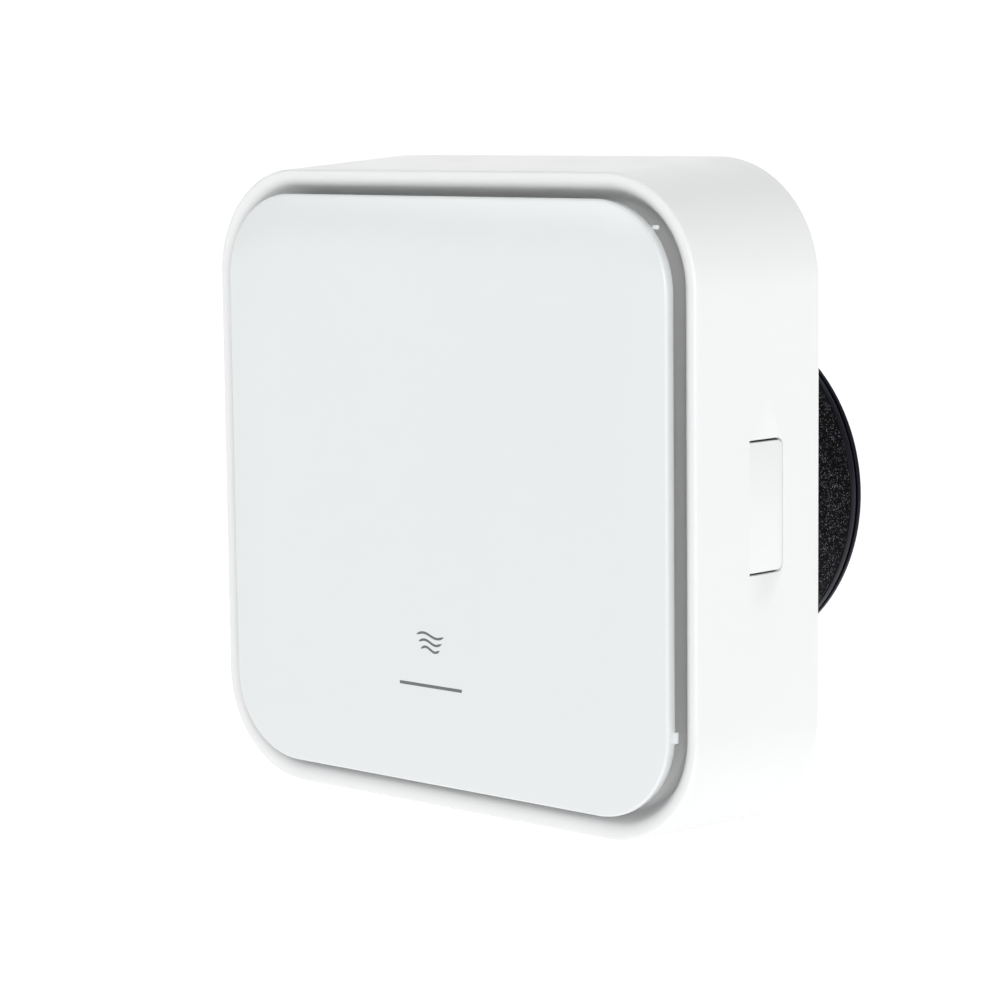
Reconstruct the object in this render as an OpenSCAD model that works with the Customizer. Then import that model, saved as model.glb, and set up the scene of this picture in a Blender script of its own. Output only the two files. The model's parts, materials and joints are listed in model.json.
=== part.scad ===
// Single-tube, through-the-wall heat recovery ventilation unit.
// Origin: centre of the casing's back plane, on the wall. +Z is up and the front faces -Y.
// The duct runs along +Y, into the wall.

/* [Casing] */
// Width of the casing where it meets the wall
casing_w = 280; // [276:1:320]
// Height of the casing where it meets the wall
casing_h = 282; // [278:1:320]
// Depth of the casing from the wall to its front rim
casing_depth = 75.5; // [74:0.5:90]
// Draft of each side over the casing's depth
draft = 4.8; // [2:0.2:8]
// Corner radius at the wall
corner_r = 51; // [45:1:60]
// Thickness of the casing walls
wall = 2.2; // [1.8:0.1:3]
// Width of the flat lip round the front rim
lip_w = 3; // [2:0.5:4]
// Depth of the gutter between the rim and the front panel
gutter_depth = 12; // [10:0.5:14]
// Inward slope of the gutter's wall over its depth
gutter_slope = 6; // [3:0.5:6.5]

/* [Front panel] */
// Width of the front panel
panel_w = 249; // [240:1:250]
// Height of the front panel
panel_h = 251.4; // [240:0.2:252]
// Corner radius of the front panel
panel_r = 37; // [30:1:42]
// How far the panel's face stands in front of the rim
panel_proud = 6; // [4:0.5:8]
// Thickness of the panel's plate
panel_t = 2.6; // [2:0.1:4]
// Half the spacing of the four panel pegs
peg_at = 97; // [96:1:104]
// Radius of a panel peg
peg_r = 3.5; // [3:0.1:4]

/* [Side latches] */
// Height of the press tongue in the casing's side
tongue_h = 53; // [40:1:60]
// Distance from the wall to the tongue's free edge
tongue_back = 23; // [20:0.5:26]
// Distance from the wall to the tongue's hinge line
tongue_front = 43.3; // [38:0.1:46]
// Width of the slot round the tongue
slot_w = 0.8; // [0.6:0.1:1.2]

/* [Duct] */
// Drop of the duct's centre below the casing's centre
duct_drop = 14; // [10:1:16]
// Outer radius of the foam wrap
foam_r = 80; // [78:1:84]
// Outer radius of the duct tube
tube_r = 75; // [73:0.5:76]
// Thickness of the duct tube
tube_t = 2.5; // [2:0.1:3]
// Distance that the duct reaches behind the wall plane
duct_len = 115.5; // [112:0.5:200]

/* [Air shutter] */
// Spacing of the blade axles
blade_pitch = 30; // [26:1:30]
// Clear width of the shutter
shutter_w = 136; // [120:1:140]
// Length of the blade cranks
crank_len = 9; // [7:0.5:10]

/* [Filter] */
// Side of the square filter cassette
filter_w = 176; // [160:1:178]
// Thickness of the filter cassette
filter_t = 21; // [16:1:22]
// Number of pleats in the filter medium
pleats = 18; // [8:1:24]

/* [Fan and heat store] */
// Radius of the fan's blade tips
fan_tip_r = 67; // [60:0.5:68]
// Number of fan blades
fan_blades = 7; // [5:1:9]
// Spacing of the heat store's channels
channel_pitch = 9; // [8:0.5:14]
// Thickness of the ceramic between two channels
channel_wall = 1.6; // [1:0.1:3]

/* [Hidden] */
$fn = 96;
eps = 0.01;
// Reach of a cut past the faces that it goes through
over = 1;

// Front rim
front_w = casing_w - 2 * draft;
front_h = casing_h - 2 * draft;
front_r = corner_r - draft;
// Planes across the depth, as distances from the wall
plate_back = 2;
plate_front = 4;
flange_front = 6;
shelf_back = casing_depth - gutter_depth - 4;
shelf_front = shelf_back + 2;
frame_front = shelf_front + 2;
panel_face = casing_depth + panel_proud;
panel_back = casing_depth;
duct_z = -duct_drop;
tube_bore = tube_r - tube_t;
flange_r = 84;

// Screws
screw_r = 1.4;
screw_head_r = 3.4;
screw_head_t = 1.8;
cover_screw_r = 1.15;
cover_screw_head_r = 2.8;

// Gutter at its floor
floor_w = front_w - 2 * (lip_w + gutter_slope);
floor_h = front_h - 2 * (lip_w + gutter_slope);
floor_r = front_r - lip_w - gutter_slope;
shelf_w = 224;
shelf_h = 226;
shelf_r = 8;
// Back of the solid rim
lip_back = casing_depth - 2.6;
panel_roll = 1.6;
liner_w = 186;
socket_back = 40;
socket_r = 7.5;
bush_r = 5.2;
frame_screw_x = 86;
frame_screw_z = 118;

// Wall plate
plate_w = casing_w - 14;
plate_h = casing_h - 14;
plate_r = corner_r - 8;
plate_pad_r = 9;
plate_boss_r = 5;
mount_at = 100;
mount_hole_r = 2.75;
grommet_x = -50;
grommet_z = 103;
grommet_hole_r = 8;

// Filter bay
filter_back = 45;
bay_wall = 2;
bay_gap = 0.6;
bay_back = 41.5;
bay_seat = 43.5;
seat_open = 150;
filter_front = filter_back + filter_t;
filter_wall = 5;

// Latches
latch_z = 1;
hinge_gap = 0.3;
knuckle_x = (casing_w - wall) / 2 - draft * tongue_front / casing_depth;
knuckle_r = wall / 2 - 0.1;
catch_x = casing_w / 2 - 9;
catch_t = 2;
catch_foot = 13;
catch_tall = 17;
catch_h = 32;
arm_x = catch_x - 3.5;
arm_t = 2.2;
arm_root_near = 33;
arm_root_far = 36.5;
arm_h = 20;
barb_near = 9.3;
barb_far = 12.6;
barb_tip = catch_x + 1.8;
barb_h = 16;

// Shutter: one blade for each blade node
blade_count = 4;
axle_y = 24;
axle_r = 2.2;
shutter_wall = 4;
shutter_h = blade_count * blade_pitch;
shutter_front = 40;
shutter_side = shutter_w / 2 + shutter_wall;
shutter_screw_at = 76;
shutter_plate_w = 164;
shutter_plate_t = 2;
crank_x = shutter_side + 1;
crank_t = 2.5;
link_x = crank_x + crank_t + 0.6;
link_t = 2.5;
pin_r = 1.5;
motor_r = 14;
motor_x = shutter_side + 4;
motor_len = 18;
// Angle of the cranks above the +Y direction, with the blades closed
crank_rest = -42.5;

// Control box
box_w = 140;
box_z0 = 82;
box_z1 = 124;
box_back = 8;
box_front = 48;
box_t = 2;
button_x = 44;
button_z = 96;
button_r = 3.5;
button_back = 44.6;
box_mid = (box_z0 + box_z1) / 2;
board_back = 14;
board_front = 15.6;
board_w = 120;
board_foot_x = 54;
cover_screw_x = 65.5;

// Fan and heat store, as distances behind the wall plane
fan_back = 6;
fan_len = 32;
hub_r = 27;
shroud_r = tube_bore - 0.3;
shroud_t = 2.4;
core_start = 42;
core_end = 104;
core_r = tube_bore - 2.7;
foam_end = duct_len - 8;

// --- Shared shapes -------------------------------------------------------

// Rounded rectangle, as plain squares and circles
module rounded(w, h, r) {
    square([w - 2 * r, h], center = true);
    square([w, h - 2 * r], center = true);
    for (sx = [-1, 1], sz = [-1, 1])
        translate([sx * (w / 2 - r), sz * (h / 2 - r)])
            circle(r = r);
}

// Outline in the X-Z plane, from one distance in front of the wall to another
module slab(near, far) {
    translate([0, -near, 0])
        rotate([90, 0, 0])
            linear_extrude(far - near)
                children();
}

// Rounded block that narrows towards the front: full size at near, smaller by t a side at far
module drafted(w, h, r, near, far, t) {
    d = far - near;
    translate([0, -near, 0])
        rotate([90, 0, 0]) {
            for (sx = [-1, 1], sz = [-1, 1])
                translate([sx * (w / 2 - r), sz * (h / 2 - r), 0])
                    cylinder(h = d, r1 = r, r2 = r - t);
            rotate([90, 0, 0])
                translate([0, 0, r - h / 2])
                    linear_extrude(h - 2 * r)
                        polygon([[-w / 2, 0], [w / 2, 0], [w / 2 - t, d], [t - w / 2, d]]);
            rotate([90, 0, 90])
                translate([0, 0, r - w / 2])
                    linear_extrude(w - 2 * r)
                        polygon([[-h / 2, 0], [h / 2, 0], [h / 2 - t, d], [t - h / 2, d]]);
        }
}

// Frame of the duct: local +Z runs into the wall from distance y behind its plane
module in_duct(y) {
    translate([0, y, duct_z])
        rotate([-90, 0, 0])
            children();
}

// Flat ring
module band(outer, width) {
    difference() {
        circle(r = outer);
        circle(r = outer - width);
    }
}

module ring(outer, inner, h) {
    difference() {
        cylinder(h = h, r = outer);
        translate([0, 0, -over])
            cylinder(h = h + 2 * over, r = inner);
    }
}

// Pin along -Y from one distance in front of the wall to another
module peg(x, z, r, near, far) {
    translate([x, -near, z])
        rotate([90, 0, 0])
            cylinder(h = far - near, r = r);
}

// Block between two distances in front of the wall
module brick(x0, x1, near, far, z0, z1) {
    translate([x0, -far, z0])
        cube([x1 - x0, far - near, z1 - z0]);
}

// Cross-head screw from near to the seat of its low head
module screw(x, z, near, seat, r, head_r) {
    slot = 0.4;
    reach = 0.65 * head_r;
    difference() {
        union() {
            peg(x, z, r, near, seat + eps);
            peg(x, z, head_r, seat, seat + screw_head_t);
        }
        for (half = [[reach, slot], [slot, reach]])
            brick(x - half[0], x + half[0], seat + screw_head_t / 2, seat + screw_head_t + over,
                z - half[1], z + half[1]);
    }
}

// --- Wall side -----------------------------------------------------------

module wall_gasket() {
    color("#2b2b2d")
        slab(0, plate_back)
            difference() {
                rounded(plate_w, plate_h, plate_r);
                rounded(plate_w - 16, plate_h - 16, plate_r - 8);
            }
}

module duct_gasket() {
    color("#2b2b2d")
        slab(0, plate_back)
            translate([0, duct_z])
                difference() {
                    circle(r = foam_r + 12);
                    circle(r = foam_r + 1);
                }
}

module wall_plate() {
    color("#c9ccce")
        difference() {
            union() {
                slab(plate_back, plate_front)
                    rounded(plate_w, plate_h, plate_r);
                for (sx = [-1, 1], sz = [-1, 1]) {
                    peg(sx * shutter_screw_at, duct_z + sz * shutter_screw_at, plate_boss_r,
                        plate_front - eps, flange_front);
                    peg(sx * mount_at, sz * mount_at, plate_pad_r, 0, plate_front);
                }
            }
            peg(0, duct_z, tube_r + 0.2, 0, plate_front + over);
            for (sx = [-1, 1], sz = [-1, 1]) {
                peg(sx * mount_at, sz * mount_at, mount_hole_r, -over, plate_front + over);
                peg(sx * shutter_screw_at, duct_z + sz * shutter_screw_at, screw_r + 0.2, 0, flange_front + over);
            }
            peg(grommet_x, grommet_z, grommet_hole_r, 0, plate_front + over);
        }
}

// Catch of the right latch: an angle bracket with a window that the barb stands in
module latch_catch() {
    difference() {
        union() {
            brick(catch_x - catch_foot, catch_x + catch_t, plate_front, plate_front + catch_t,
                latch_z - catch_h / 2, latch_z + catch_h / 2);
            brick(catch_x, catch_x + catch_t, plate_front, catch_tall,
                latch_z - catch_h / 2, latch_z + catch_h / 2);
        }
        brick(catch_x - over, catch_x + catch_t + over, barb_near - 0.8, barb_far + 1.2,
            latch_z - barb_h / 2 - 1, latch_z + barb_h / 2 + 1);
    }
}

module latch_catches() {
    color("#bfc3c5") {
        latch_catch();
        mirror([1, 0, 0])
            latch_catch();
    }
}

module cable_grommet() {
    color("#1d1d1f")
        translate([grommet_x, -1, grommet_z])
            rotate([90, 0, 0])
                rotate_extrude()
                    polygon([[4, 0], [10, 0], [10, 0.9], [7.9, 0.9], [7.9, 3.1], [10, 3.1], [10, 4.2], [4, 6]]);
}

// --- Casing --------------------------------------------------------------

// Space inside the casing's walls, from just behind the wall plane to one distance in front of it
module inner_space(far) {
    slope = draft / casing_depth;
    grow = over * slope;
    drafted(casing_w - 2 * wall + 2 * grow, casing_h - 2 * wall + 2 * grow, corner_r - wall + grow,
        -over, far, slope * (far + over));
}

// The hollow round the front panel, widened by extra: it narrows towards its floor
module gutter(extra, near, far) {
    slope = gutter_slope / (casing_depth - shelf_front);
    grow = slope * (near - shelf_front);
    drafted(floor_w + 2 * (extra + grow), floor_h + 2 * (extra + grow), floor_r + extra + grow,
        near, far, -slope * (far - near));
}

// Window that the latch tongue stands in, with a hollow for its hinge bead
module tongue_window() {
    brick(catch_x, casing_w, tongue_back - slot_w, tongue_front + hinge_gap,
        latch_z - tongue_h / 2 - slot_w, latch_z + tongue_h / 2 + slot_w);
    translate([knuckle_x, -tongue_front, latch_z - tongue_h / 2 - slot_w])
        cylinder(h = tongue_h + 2 * slot_w, r = knuckle_r + hinge_gap);
}

module casing() {
    color("#f2f3f3")
        difference() {
            drafted(casing_w, casing_h, corner_r, 0, casing_depth, draft);
            difference() {
                inner_space(lip_back);
                gutter(wall, shelf_back, casing_depth);
            }
            gutter(0, shelf_front, casing_depth + over);
            slab(shelf_back - over, shelf_front + over)
                rounded(shelf_w, shelf_h, shelf_r);
            tongue_window();
            mirror([1, 0, 0])
                tongue_window();
            for (sx = [-1, 1], sz = [-1, 1])
                peg(sx * frame_screw_x, sz * frame_screw_z, screw_r + 0.1, shelf_back - over, shelf_front + over);
        }
}

// --- Latches -------------------------------------------------------------

// Right latch: the tongue in the casing's side, with a bead on its hinge line and an arm behind it,
// whose barb hooks outwards into the catch
module latch() {
    intersection() {
        difference() {
            drafted(casing_w, casing_h, corner_r, 0, casing_depth, draft);
            inner_space(lip_back);
        }
        brick(catch_x, casing_w, tongue_back, tongue_front, latch_z - tongue_h / 2, latch_z + tongue_h / 2);
    }
    translate([knuckle_x, -tongue_front, latch_z - tongue_h / 2])
        cylinder(h = tongue_h, r = knuckle_r);
    brick(arm_x, casing_w / 2 - 4, arm_root_near, arm_root_far, latch_z - arm_h / 2, latch_z + arm_h / 2);
    brick(arm_x, arm_x + arm_t, barb_near, arm_root_far, latch_z - arm_h / 2, latch_z + arm_h / 2);
    brick(arm_x + arm_t - eps, barb_tip, barb_near, barb_far, latch_z - barb_h / 2, latch_z + barb_h / 2);
}

module latch_right() {
    color("#f0f1f1")
        latch();
}

module latch_left() {
    color("#f0f1f1")
        mirror([1, 0, 0])
            latch();
}

// --- Air frame behind the front panel ------------------------------------

module air_frame() {
    bay = filter_w + 2 * bay_gap;
    color("#e4e6e7")
        difference() {
            union() {
                slab(shelf_front, frame_front)
                    rounded(floor_w - 0.8, floor_h - 0.8, floor_r - 0.4);
                slab(bay_back, frame_front + 3)
                    translate([0, duct_z])
                        rounded(bay + 2 * bay_wall, bay + 2 * bay_wall, 4);
                for (sx = [-1, 1], sz = [-1, 1])
                    peg(sx * peg_at, sz * peg_at, socket_r, socket_back, shelf_front + eps);
            }
            slab(bay_seat, frame_front + 3 + over)
                translate([0, duct_z])
                    square(bay, center = true);
            slab(bay_back - over, bay_seat + over)
                translate([0, duct_z])
                    square(seat_open, center = true);
            for (sx = [-1, 1], sz = [-1, 1]) {
                peg(sx * peg_at, sz * peg_at, bush_r, socket_back + 2, frame_front + over);
                peg(sx * peg_at, sz * peg_at, peg_r + 0.6, socket_back - over, frame_front + over);
                peg(sx * frame_screw_x, sz * frame_screw_z, screw_r + 0.3, shelf_front - over, frame_front + over);
            }
            peg(button_x, button_z, button_r + 0.6, shelf_front - over, frame_front + over);
        }
}

module frame_screws() {
    color("#9a9da0")
        for (sx = [-1, 1], sz = [-1, 1])
            screw(sx * frame_screw_x, sz * frame_screw_z, shelf_back - 4, frame_front, screw_r, screw_head_r);
}

module peg_bushes() {
    color("#e8e9e6")
        for (sx = [-1, 1], sz = [-1, 1])
            difference() {
                peg(sx * peg_at, sz * peg_at, bush_r, socket_back + 2, frame_front);
                peg(sx * peg_at, sz * peg_at, peg_r + 0.3, socket_back, frame_front + over);
            }
}

module air_sensor() {
    color("#f4f4f0")
        difference() {
            brick(-110, -94, shelf_front - 12, shelf_front, 20, 44);
            for (z = [25:5:39])
                brick(-107, -97, shelf_front - 12 - over, shelf_front - 8, z, z + 2);
        }
}

// --- Front panel ---------------------------------------------------------

module front_panel() {
    color("#eef0f1")
        difference() {
            union() {
                slab(panel_back, panel_face - panel_roll)
                    rounded(panel_w, panel_h, panel_r);
                drafted(panel_w, panel_h, panel_r, panel_face - panel_roll, panel_face, panel_roll);
                for (sx = [-1, 1], sz = [-1, 1])
                    peg(sx * peg_at, sz * peg_at, peg_r, socket_back + 3, panel_face - panel_t / 2);
            }
            difference() {
                slab(panel_back - over, panel_face - panel_t)
                    rounded(panel_w - 4, panel_h - 4, panel_r - 2);
                for (sx = [-1, 1], sz = [-1, 1])
                    peg(sx * peg_at, sz * peg_at, peg_r, 0, panel_face);
            }
        }
}

module panel_liner() {
    color("#6d7072")
        slab(panel_back - 0.5, panel_face - panel_t)
            rounded(liner_w, liner_w, 20);
}

// --- Filter cassette -----------------------------------------------------

module filter_frame() {
    color("#dfe3e6")
        translate([0, 0, duct_z]) {
            slab(filter_back, filter_front)
                difference() {
                    rounded(filter_w, filter_w, 3);
                    square(filter_w - 2 * filter_wall, center = true);
                }
            slab(filter_back, filter_back + 2)
                for (a = [0, 90], k = [-1, 0, 1])
                    rotate(a)
                        translate([k * filter_w / 4, 0])
                            square([2, filter_w - filter_wall], center = true);
        }
}

// Zigzag sheet: one fold per half pleat
module filter_media() {
    w = filter_w - 2 * filter_wall - 0.4;
    near = filter_back + 2.4;
    far = filter_front - 4.2;
    folds = 2 * pleats;
    sheet = 1.4;
    edge = [for (i = [0:folds]) [w * (i / folds - 0.5), i % 2 == 0 ? near : far - sheet]];
    back = [for (i = [folds:-1:0]) [w * (i / folds - 0.5), (i % 2 == 0 ? near : far - sheet) + sheet]];
    color("#f6f6f2")
        translate([0, 0, duct_z - w / 2])
            mirror([0, 1, 0])
                linear_extrude(w)
                    polygon(concat(edge, back));
}

module pre_filter() {
    w = filter_w - 2 * filter_wall - 0.4;
    cells = 16;
    pitch = (w - 4) / cells;
    color("#8e9396")
        slab(filter_front - 3.6, filter_front - 2)
            translate([0, duct_z])
                difference() {
                    square(w, center = true);
                    for (i = [0:cells - 1], k = [0:cells - 1])
                        translate([(i + 0.5) * pitch - w / 2 + 2, (k + 0.5) * pitch - w / 2 + 2])
                            square(pitch - 1.6, center = true);
                }
}

module filter_tab() {
    z0 = duct_z - filter_w / 2;
    color("#7fb2d6")
        brick(-14, 14, filter_front, filter_front + 1.2, z0 + 0.5, z0 + 20);
}

module filter_gasket() {
    color("#47484a")
        slab(bay_seat, filter_back)
            translate([0, duct_z])
                difference() {
                    square(filter_w, center = true);
                    square(seat_open + 4, center = true);
                }
}

// --- Air shutter ---------------------------------------------------------

function blade_z(i) = duct_z + ((blade_count + 1) / 2 - i) * blade_pitch;

// Rod along X
module rod(x0, x1, y, z, r) {
    translate([x0, -y, z])
        rotate([0, 90, 0])
            cylinder(h = x1 - x0, r = r);
}

module shutter_frame() {
    color("#45494c")
        difference() {
            union() {
                slab(flange_front, flange_front + shutter_plate_t)
                    translate([0, duct_z])
                        rounded(shutter_plate_w, shutter_plate_w, 12);
                slab(flange_front, shutter_front)
                    translate([0, duct_z])
                        rounded(2 * shutter_side, shutter_h + 8, 3);
            }
            slab(flange_front + shutter_plate_t, shutter_front + over)
                translate([0, duct_z])
                    square([shutter_w, shutter_h + 0.8], center = true);
            slab(flange_front - over, flange_front + shutter_plate_t + over)
                translate([0, duct_z])
                    intersection() {
                        circle(r = tube_bore - 2);
                        square([shutter_w, shutter_h + 0.8], center = true);
                    }
            for (i = [1:blade_count])
                rod(-shutter_side - over, shutter_side + over, axle_y, blade_z(i), axle_r + 0.15);
            for (sx = [-1, 1], sz = [-1, 1])
                peg(sx * shutter_screw_at, duct_z + sz * shutter_screw_at, screw_r + 0.3, 0, shutter_front);
        }
}

module shutter_screws() {
    color("#9a9da0")
        for (sx = [-1, 1], sz = [-1, 1])
            screw(sx * shutter_screw_at, duct_z + sz * shutter_screw_at, 1, flange_front + shutter_plate_t,
                screw_r, screw_head_r);
}

// One blade with its axle and crank; the first blade's axle also reaches into the motor
module shutter_blade(i) {
    left_end = i == 1 ? motor_x + 12 : shutter_side + 1;
    color("#5c6165") {
        brick(-shutter_w / 2 + 0.5, shutter_w / 2 - 0.5, axle_y - 1, axle_y + 1,
            blade_z(i) - blade_pitch / 2 + 0.4, blade_z(i) + blade_pitch / 2 - 0.4);
        rod(-shutter_w / 2 + 0.5, shutter_w / 2 - 0.5, axle_y, blade_z(i), 3.2);
        rod(-left_end, crank_x + crank_t, axle_y, blade_z(i), axle_r);
        translate([crank_x, -axle_y, blade_z(i)])
            rotate([crank_rest, 0, 0]) {
                rotate([0, 90, 0])
                    cylinder(h = crank_t, r = 4);
                translate([0, 0, -2.5])
                    cube([crank_t, crank_len, 5]);
                translate([0, crank_len, 0])
                    rotate([0, 90, 0]) {
                        cylinder(h = crank_t, r = 3);
                        cylinder(h = crank_t + link_t + 1.4, r = pin_r);
                    }
            }
    }
}

module shutter_blade_1() shutter_blade(1);
module shutter_blade_2() shutter_blade(2);
module shutter_blade_3() shutter_blade(3);
module shutter_blade_4() shutter_blade(4);

// Bar that ties the cranks together
module shutter_link() {
    pin_y = axle_y - crank_len * cos(crank_rest);
    pin_dz = crank_len * sin(crank_rest);
    color("#b8a27a")
        difference() {
            brick(link_x, link_x + link_t, pin_y - 3.5, pin_y + 3.5,
                blade_z(blade_count) + pin_dz - 4, blade_z(1) + pin_dz + 4);
            for (i = [1:blade_count])
                rod(link_x - over, link_x + link_t + over, pin_y, blade_z(i) + pin_dz, pin_r + 0.1);
        }
}

module shutter_motor() {
    color("#d9dadb")
        difference() {
            union() {
                rod(-motor_x - motor_len, -motor_x, axle_y, blade_z(1), motor_r);
                rod(-motor_x - eps, -shutter_side, axle_y, blade_z(1), 8);
                brick(-motor_x - 12, -motor_x - 6, axle_y - 5, axle_y + 5, blade_z(1), blade_z(1) + motor_r + 4);
            }
            rod(-motor_x - 14, -shutter_side + over, axle_y, blade_z(1), axle_r + 0.15);
        }
}

// --- Duct ----------------------------------------------------------------

module duct_tube() {
    color("#3c3f42")
        difference() {
            union() {
                in_duct(-plate_front)
                    cylinder(h = plate_front + duct_len - 2.5, r = tube_r);
                in_duct(-flange_front)
                    cylinder(h = flange_front - plate_front, r = flange_r);
            }
            in_duct(-flange_front - over)
                cylinder(h = duct_len + 20, r = tube_bore);
        }
}

module duct_foam() {
    color("#1b1b1d")
        in_duct(0.5)
            ring(foam_r, tube_r + 0.05, foam_end - 0.5);
}

// End collar: a smooth band, a groove and a lip that caps the tube's end
module duct_collar() {
    band = 3.6;
    groove = 5.8;
    lip = duct_len - foam_end;
    color("#101113")
        in_duct(foam_end)
            rotate_extrude()
                polygon([
                    [tube_r + 0.05, 0], [foam_r - 0.4, 0], [foam_r, 0.4], [foam_r, band], [foam_r - 2, band + 0.2],
                    [foam_r - 2, groove - 0.2], [foam_r, groove], [foam_r, lip - 0.4], [foam_r - 0.4, lip],
                    [tube_bore + 0.1, lip], [tube_bore + 0.1, lip - 2.4], [tube_r + 0.05, lip - 2.4]
                ]);
}

module rear_guard() {
    color("#26282a")
        in_duct(core_end + 4.5)
            linear_extrude(2.5) {
                band(tube_bore - 0.1, 3.4);
                band(44, 2);
                band(18, 2.5);
                for (a = [30:60:330])
                    rotate(a)
                        translate([16.5, -1])
                            square([tube_bore - 18.5, 2]);
            }
}

module outdoor_filter() {
    color("#54575a")
        in_duct(core_end + 0.3)
            cylinder(h = 4, r = tube_bore - 0.6);
}

// --- Fan -----------------------------------------------------------------

module fan_shroud() {
    color("#2d3032")
        in_duct(fan_back) {
            linear_extrude(fan_len - 4)
                band(shroud_r, shroud_t);
            translate([0, 0, fan_len - 4])
                linear_extrude(4) {
                    band(shroud_r, shroud_t);
                    band(hub_r + 1, hub_r - 4);
                    for (a = [18:72:306])
                        rotate(a)
                            translate([hub_r - 2, -1.5])
                                square([shroud_r - hub_r + 0.5, 3]);
                }
            translate([0, 0, 10])
                linear_extrude(fan_len - 14)
                    band(7, 2);
        }
}

module fan_stator() {
    color("#b4713a")
        in_duct(fan_back + 13)
            difference() {
                ring(21, 7.05, 12);
                for (a = [0:40:320])
                    rotate(a)
                        translate([11, -1.5, -over])
                            cube([20, 3, 12 + 2 * over]);
            }
}

module fan_bearings() {
    color("#c5c8ca")
        for (y = [11, 23])
            in_duct(fan_back + y)
                ring(4.98, 2.05, 4);
}

module fan_shaft() {
    color("#dcdee0")
        in_duct(fan_back + 4.8)
            cylinder(h = 22.5, r = 2);
}

module fan_rotor() {
    rotor_len = 22;
    color("#e9ebec")
        in_duct(fan_back + 4) {
            difference() {
                cylinder(h = rotor_len, r = hub_r);
                translate([0, 0, 2.5])
                    cylinder(h = rotor_len, r = hub_r - 2.6);
                translate([0, 0, 0.8])
                    cylinder(h = rotor_len, r = 2.02);
            }
            intersection() {
                ring(fan_tip_r, hub_r - 0.5, rotor_len - 2);
                for (a = [0:360 / fan_blades:359])
                    rotate(a)
                        translate([hub_r - 2, 0, (rotor_len - 2) / 2])
                            rotate([50, 0, 0])
                                translate([0, -1, -20])
                                    cube([fan_tip_r, 2, 40]);
            }
        }
}

module rotor_magnet() {
    color("#5a5046")
        in_duct(fan_back + 13)
            ring(hub_r - 2.62, 22.4, 12);
}

// --- Heat store ----------------------------------------------------------

module core_cartridge() {
    color("#caced1")
        in_duct(core_start) {
            ring(tube_bore - 0.3, core_r + 0.3, core_end - core_start);
            translate([0, 0, core_end - core_start - 2])
                ring(core_r + 0.4, core_r - 4, 2);
        }
}

// Ceramic block with square channels right through
module ceramic_core() {
    reach = core_r - 6;
    count = floor(reach / channel_pitch);
    side = channel_pitch - channel_wall;
    color("#d8c7ac")
        in_duct(core_start + 2.5)
            linear_extrude(core_end - core_start - 5)
                difference() {
                    circle(r = core_r);
                    for (i = [-count:count], k = [-count:count])
                        if (norm([abs(i) + 0.5, abs(k) + 0.5]) * channel_pitch < reach + channel_wall)
                            translate([i * channel_pitch, k * channel_pitch])
                                square(side, center = true);
                }
}

module core_retainer() {
    color("#8c9296")
        in_duct(core_start) {
            ring(core_r + 0.2, core_r - 4.5, 2.3);
            for (a = [0, 90])
                rotate(a)
                    translate([-core_r + 2, -2, 0])
                        cube([2 * core_r - 4, 4, 2.3]);
        }
}

module core_handle() {
    color("#e07b2c")
        in_duct(core_start - 3)
            difference() {
                translate([-24, -5, 0])
                    cube([48, 10, 3]);
                translate([-18, -6, 1.4])
                    cube([36, 12, 3]);
            }
}

// --- Control box ---------------------------------------------------------

module control_box() {
    color("#ced2d4")
        difference() {
            union() {
                difference() {
                    brick(-box_w / 2, box_w / 2, box_back, box_front, box_z0, box_z1);
                    brick(box_t - box_w / 2, box_w / 2 - box_t, box_back + box_t, box_front + over,
                        box_z0 + box_t, box_z1 - box_t);
                }
                for (sx = [-1, 1]) {
                    peg(sx * cover_screw_x, box_mid, 3.4, box_back + box_t, box_front);
                    for (z = [box_z0 + 7, box_z1 - 7]) {
                        peg(sx * board_foot_x, z, 3, box_back + box_t - eps, board_back);
                        peg(sx * board_foot_x, z, 4, plate_front, box_back + eps);
                    }
                }
            }
            for (sx = [-1, 1])
                peg(sx * cover_screw_x, box_mid, 1.2, box_front - 12, box_front + over);
            peg(grommet_x, grommet_z, 7, box_back - over, box_back + box_t + over);
        }
}

module control_board() {
    color("#2f6b45")
        difference() {
            brick(-board_w / 2, board_w / 2, board_back, board_front, box_z0 + 3, box_z1 - 3);
            peg(grommet_x, grommet_z, 6, 0, box_front);
        }
}

module board_parts() {
    color("#33373b") {
        brick(-12, 12, board_front, board_front + 20, 88, 110);
        brick(20, 34, board_front, board_front + 14, 104, 118);
        brick(button_x - 4, button_x + 4, board_front, button_back - 2.2, button_z - 4, button_z + 4);
        for (x = [-22, 18, 30])
            peg(x, 91, 4.5, board_front, board_front + 18);
    }
}

module terminal_block() {
    ways = 4;
    pitch = 6;
    x0 = grommet_x + 10;
    color("#3f7f4e")
        difference() {
            brick(x0, x0 + 12, board_front, board_front + 13, box_z0 + 6, box_z0 + 6 + ways * pitch + 4);
            for (i = [0:ways - 1]) {
                peg(x0 + 6, box_z0 + 11 + i * pitch, 1.8, board_front + 6, board_front + 20);
                brick(x0 - over, x0 + 3, board_front + 3, board_front + 8,
                    box_z0 + 9.5 + i * pitch, box_z0 + 12.5 + i * pitch);
            }
        }
}

module control_cover() {
    color("#d6dadc")
        difference() {
            brick(-box_w / 2, box_w / 2, box_front, box_front + 2, box_z0, box_z1);
            peg(button_x, button_z, button_r + 0.4, box_front - over, box_front + 3);
            for (sx = [-1, 1])
                peg(sx * cover_screw_x, box_mid, 1.5, box_front - over, box_front + 3);
            for (x = [-30:6:12])
                brick(x, x + 2.5, box_front - over, box_front + 3, box_mid - 8, box_mid + 8);
        }
}

module cover_screws() {
    color("#9a9da0")
        for (sx = [-1, 1])
            screw(sx * cover_screw_x, box_mid, box_front - 8, box_front + 2, cover_screw_r, cover_screw_head_r);
}

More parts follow.
